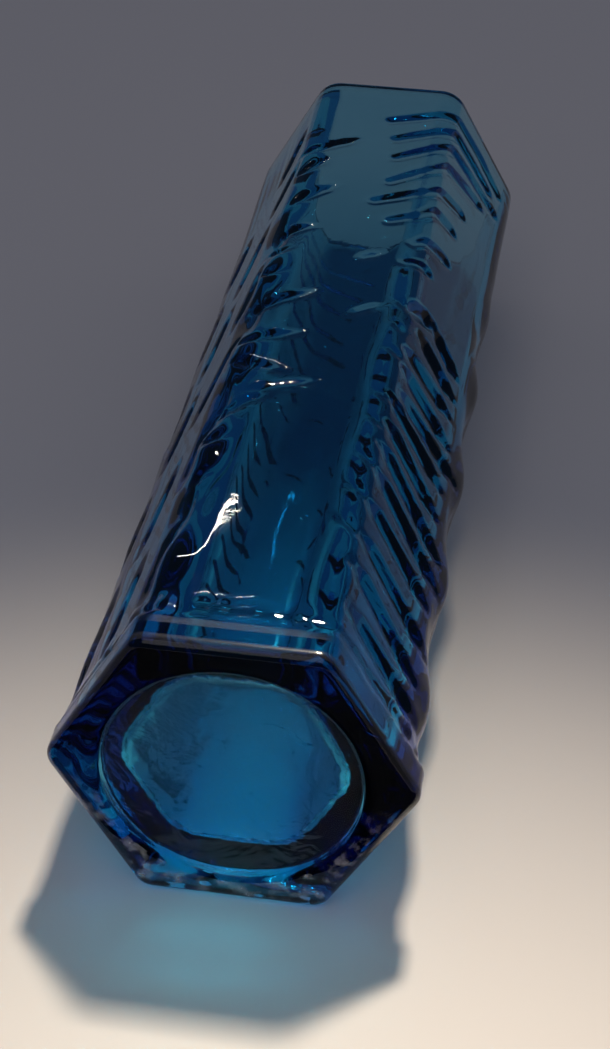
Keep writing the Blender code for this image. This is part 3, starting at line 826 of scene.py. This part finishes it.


# %% [markdown]
# ## Pressing the vase
# The tree runs as a modifier on an empty mesh. Its result is copied to a plain mesh, because the export needs
# one, and the modifier goes with its helper. Then the vase is tied to the imported model: it takes the place
# of the node vase_body, which is hidden, and rides on the root, as it has no moving part.

# %% Press the vase
def press_vase():
    """Run the rule, keep its result as a plain mesh and clear the helpers away."""
    tree = press_tree()
    maker = bpy.data.objects.new("maker", bpy.data.meshes.new("maker"))
    bpy.context.scene.collection.objects.link(maker)
    modifier = maker.modifiers.new("press", "NODES")
    modifier.node_group = tree
    given = {"Section": section, "Grooves": grooves, "Glass": glass}
    for item in tree.interface.items_tree:
        if item.in_out == "INPUT" and item.name in given:
            modifier[item.identifier] = given[item.name]
    ready = maker.evaluated_get(bpy.context.evaluated_depsgraph_get())
    mesh = bpy.data.meshes.new_from_object(ready)
    mesh.name = "vase_glass"
    vase = bpy.data.objects.new("vase_glass", mesh)
    bpy.context.scene.collection.objects.link(vase)
    for helper in (maker, section, grooves):
        bpy.data.objects.remove(helper)
    return vase


vase = press_vase()
check = bmesh.new()
check.from_mesh(vase.data)
print("vase:", sum(len(f.verts) - 2 for f in check.faces), "triangles, open edges:",
      sum(not e.is_manifold for e in check.edges), "volume, ml:", round(check.calc_volume() * 1e6, 1))
check.free()
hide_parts("vase_body")
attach(vase, "root")

# %% [markdown]
# ## The stage
# In the picture the vase lies on one flat side, with its foot towards us. In its own frame it stands
# upright, so the floor it lies on is an upright plane along that flat, and the camera is turned to match.
# Every plane is see-through from behind, so that a view from there isn't blocked.

# %% Planes
def one_sided(name, hex_colour, only_to=None, glow=0.0):
    """A matt material that is clear from behind, and if wanted also to all but one kind of ray. A glow
    evens out the lamps' pools on it."""
    material = bpy.data.materials.new(name)
    material.use_nodes = True
    tree = material.node_tree
    tree.nodes.clear()
    colour = (*linear(hex_colour), 1)
    matt = add(tree, "ShaderNodeBsdfDiffuse", {"Color": colour}).outputs[0]
    if glow:
        even = add(tree, "ShaderNodeEmission", {"Color": colour, "Strength": glow}).outputs[0]
        matt = add(tree, "ShaderNodeAddShader", {0: matt, 1: even}).outputs[0]
    clear = add(tree, "ShaderNodeBsdfTransparent").outputs[0]
    hidden = add(tree, "ShaderNodeNewGeometry").outputs["Backfacing"]
    if only_to:
        seen = add(tree, "ShaderNodeLightPath").outputs[only_to]
        unseen = add(tree, "ShaderNodeMath", {0: 1.0, 1: seen}, operation="SUBTRACT").outputs[0]
        hidden = add(tree, "ShaderNodeMath", {0: hidden, 1: unseen}, operation="MAXIMUM").outputs[0]
    mixed = add(tree, "ShaderNodeMixShader", {"Fac": hidden, 1: matt, 2: clear}).outputs[0]
    add(tree, "ShaderNodeOutputMaterial", {"Surface": mixed})
    return material


def plane(name, centre, across, along, size, material):
    """A square in the plane of two directions, facing their cross product."""
    corners = [centre + across * size / 2 * a + along * size / 2 * b
               for a, b in ((-1, -1), (1, -1), (1, 1), (-1, 1))]
    bm = bmesh.new()
    bm.faces.new([bm.verts.new(corner) for corner in corners])
    mesh = bpy.data.meshes.new(name)
    bm.to_mesh(mesh)
    bm.free()
    thing = bpy.data.objects.new(name, mesh)
    bpy.context.scene.collection.objects.link(thing)
    mesh.materials.append(material)
    return thing


# %% [markdown]
# The floor comes first, and two helpers follow. Glass mirrors what lies before it, and here a brightly lit
# floor would draw a grey veil over the foot ring. So a dark card lies on the floor in front of the foot, and
# only mirror rays meet it. When the vase is viewed standing up, it needs something to stand on. That is a
# table just under the foot, which only camera rays meet, so it takes no part in the light. The camera of the
# picture is below it and sees through its back.

# %% Floor, card and table
FLOOR_SIZE = 6.0
CARD_SIZE = 0.32
CARD_START = 10 * MM
CARD_LIFT = 0.2 * MM
TABLE_SIZE = 60.0
TABLE_GAP = 0.4 * MM
TABLE_GLOW = 1.8

floor = plane("floor", -APOTHEM * UP, RIGHT, AWAY, FLOOR_SIZE, one_sided("matt_floor", "D2CFD2"))
print("floor faces the vase:", floor.data.polygons[0].normal.dot(UP) > 0)
card_middle = -(APOTHEM - CARD_LIFT) * UP - (CARD_START + CARD_SIZE / 2) * AWAY
# The card is seen only in reflections: it paints a dark reflection into the foot ring, where the lit floor
# would show.
card_matt = one_sided("black_card", "262A34", "Is Glossy Ray")
plane("black_card", card_middle, RIGHT, AWAY, CARD_SIZE, card_matt)
table_matt = one_sided("matt_table", "666467", "Is Camera Ray", TABLE_GLOW)
table = plane("table", -TABLE_GAP * AWAY, UP, RIGHT, TABLE_SIZE, table_matt)
print("table faces up the vase:", table.data.polygons[0].normal.dot(AWAY) > 0)

# %% [markdown]
# ## The camera
# Its place and turn were fitted to the outlines of the foot, the mouth and the round recess. It looks up
# the vase from beyond the foot, close enough that the mouth end looks much smaller.

# %% Camera
CAMERA_PLACE = Vector((202.0, -68.8, -224.1)) * MM
CAMERA_TURN = (144.68, -8.61, 58.96)
LENS = 70.87
CLIP_START = 10 * MM

camera = bpy.data.objects.new("camera", bpy.data.cameras.new("camera"))
bpy.context.scene.collection.objects.link(camera)
camera.data.lens = LENS
camera.data.clip_start = CLIP_START
camera.location = CAMERA_PLACE
camera.rotation_euler = [math.radians(turn) for turn in CAMERA_TURN]
bpy.context.scene.camera = camera
print("camera is", round(CAMERA_PLACE.length / MM), "mm from the foot")


# %% [markdown]
# ## The lamps
# Three soft boxes light the vase. A small warm one, high over the body, lays a pool of light on the floor in
# front of the foot and throws the shadow. A thin strip adds narrow glints to the glass. A large fill lamp,
# above the camera, keeps the near side from going dark.

# %% Lamps
def soft_lamp(name, place, target, width, length, power, hex_colour, along=AWAY):
    """A rectangular soft box that faces a target, its length along a direction."""
    lamp = bpy.data.lights.new(name, "AREA")
    lamp.shape = "RECTANGLE"
    lamp.size = width
    lamp.size_y = length
    lamp.energy = power
    lamp.color = linear(hex_colour)
    thing = bpy.data.objects.new(name, lamp)
    bpy.context.scene.collection.objects.link(thing)
    back = (place - target).normalized()
    side = along.cross(back).normalized()
    turned = Matrix((side, back.cross(side), back)).transposed().to_4x4()
    thing.matrix_world = Matrix.Translation(place) @ turned
    return thing


FOOT = Vector((0, 0, 0))
POOL = -APOTHEM * UP - 0.135 * AWAY + 0.02 * RIGHT
OVERHEAD_PLACE = 0.53 * UP + 0.265 * AWAY + 0.03 * RIGHT
OVERHEAD_SIZE = 0.06
OVERHEAD_POWER = 0.33
OVERHEAD_SPREAD = math.radians(37)
STRIP_PLACE = 0.466 * UP + 0.636 * AWAY - 0.134 * RIGHT
STRIP_ALONG = Vector((6, 51, 41)).normalized()
STRIP_WIDTH = 5 * MM
STRIP_LENGTH = 50 * MM
STRIP_POWER = 0.025
FILL_PLACE = 0.45 * UP - 0.30 * AWAY
FILL_SIZE = 0.40
FILL_POWER = 0.3

overhead = soft_lamp("overhead", OVERHEAD_PLACE, POOL, OVERHEAD_SIZE, OVERHEAD_SIZE, OVERHEAD_POWER, "FFEFD2")
overhead.data.spread = OVERHEAD_SPREAD
soft_lamp("strip", STRIP_PLACE, FOOT, STRIP_WIDTH, STRIP_LENGTH, STRIP_POWER, "FFF6EA", along=STRIP_ALONG)
soft_lamp("fill", FILL_PLACE, FOOT, FILL_SIZE, FILL_SIZE, FILL_POWER, "F6F2F4")

# %% [markdown]
# ## The room
# Weak daylight comes from all round. What the glass mirrors is a dimmer and bluer room, so that its outside
# doesn't turn grey and its colour stays deep. Colours are shown as they are, with the plain view.

# %% Room
DAYLIGHT = 0.32
MIRRORED_LIGHT = 0.2

world = bpy.data.worlds.new("world")
world.use_nodes = True
room = world.node_tree
room.nodes.clear()
daylight = add(room, "ShaderNodeBackground", {
    "Color": (*linear("AFB3C2"), 1), "Strength": DAYLIGHT}).outputs[0]
mirrored = add(room, "ShaderNodeBackground", {
    "Color": (*linear("5A80B0"), 1), "Strength": MIRRORED_LIGHT}).outputs[0]
in_mirror = add(room, "ShaderNodeLightPath").outputs["Is Glossy Ray"]
seen = add(room, "ShaderNodeMixShader", {"Fac": in_mirror, 1: daylight, 2: mirrored}).outputs[0]
add(room, "ShaderNodeOutputWorld", {"Surface": seen})
bpy.context.scene.world = world
bpy.context.scene.view_settings.view_transform = "Standard"
